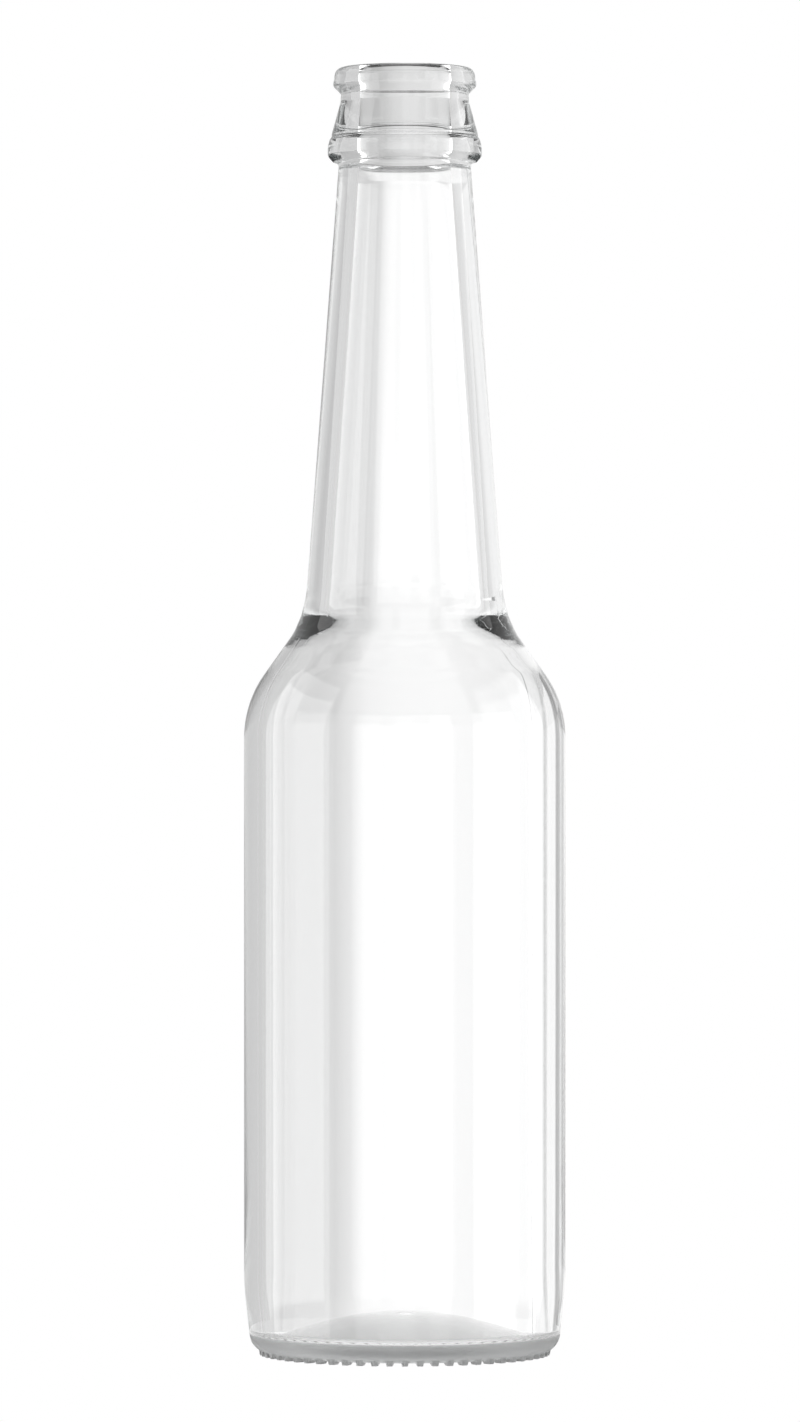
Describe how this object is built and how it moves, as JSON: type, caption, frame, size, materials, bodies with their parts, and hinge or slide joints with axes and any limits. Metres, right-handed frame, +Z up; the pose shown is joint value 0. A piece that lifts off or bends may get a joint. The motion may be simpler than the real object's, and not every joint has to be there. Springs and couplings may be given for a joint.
{
  "type": "long-neck bottle",
  "caption": "empty clear glass long-neck drinks bottle with a crown finish, a long tapered neck, a short sloped shoulder, a straight body, a domed base and an open mouth",
  "frame": {"origin": "centre of the circle of knurls that the bottle stands on, at the lowest point", "axes": "+Z up along the bottle's axis, from the foot to the mouth; +X and +Y are level and equivalent, because the bottle is turned"},
  "size_m": [0.06, 0.06, 0.24],
  "materials": {
    "flint_glass": "fire-polished clear flint glass"
  },
  "bodies": {
    "root": {"bottle": "flint_glass"}
  },
  "joints": []
}
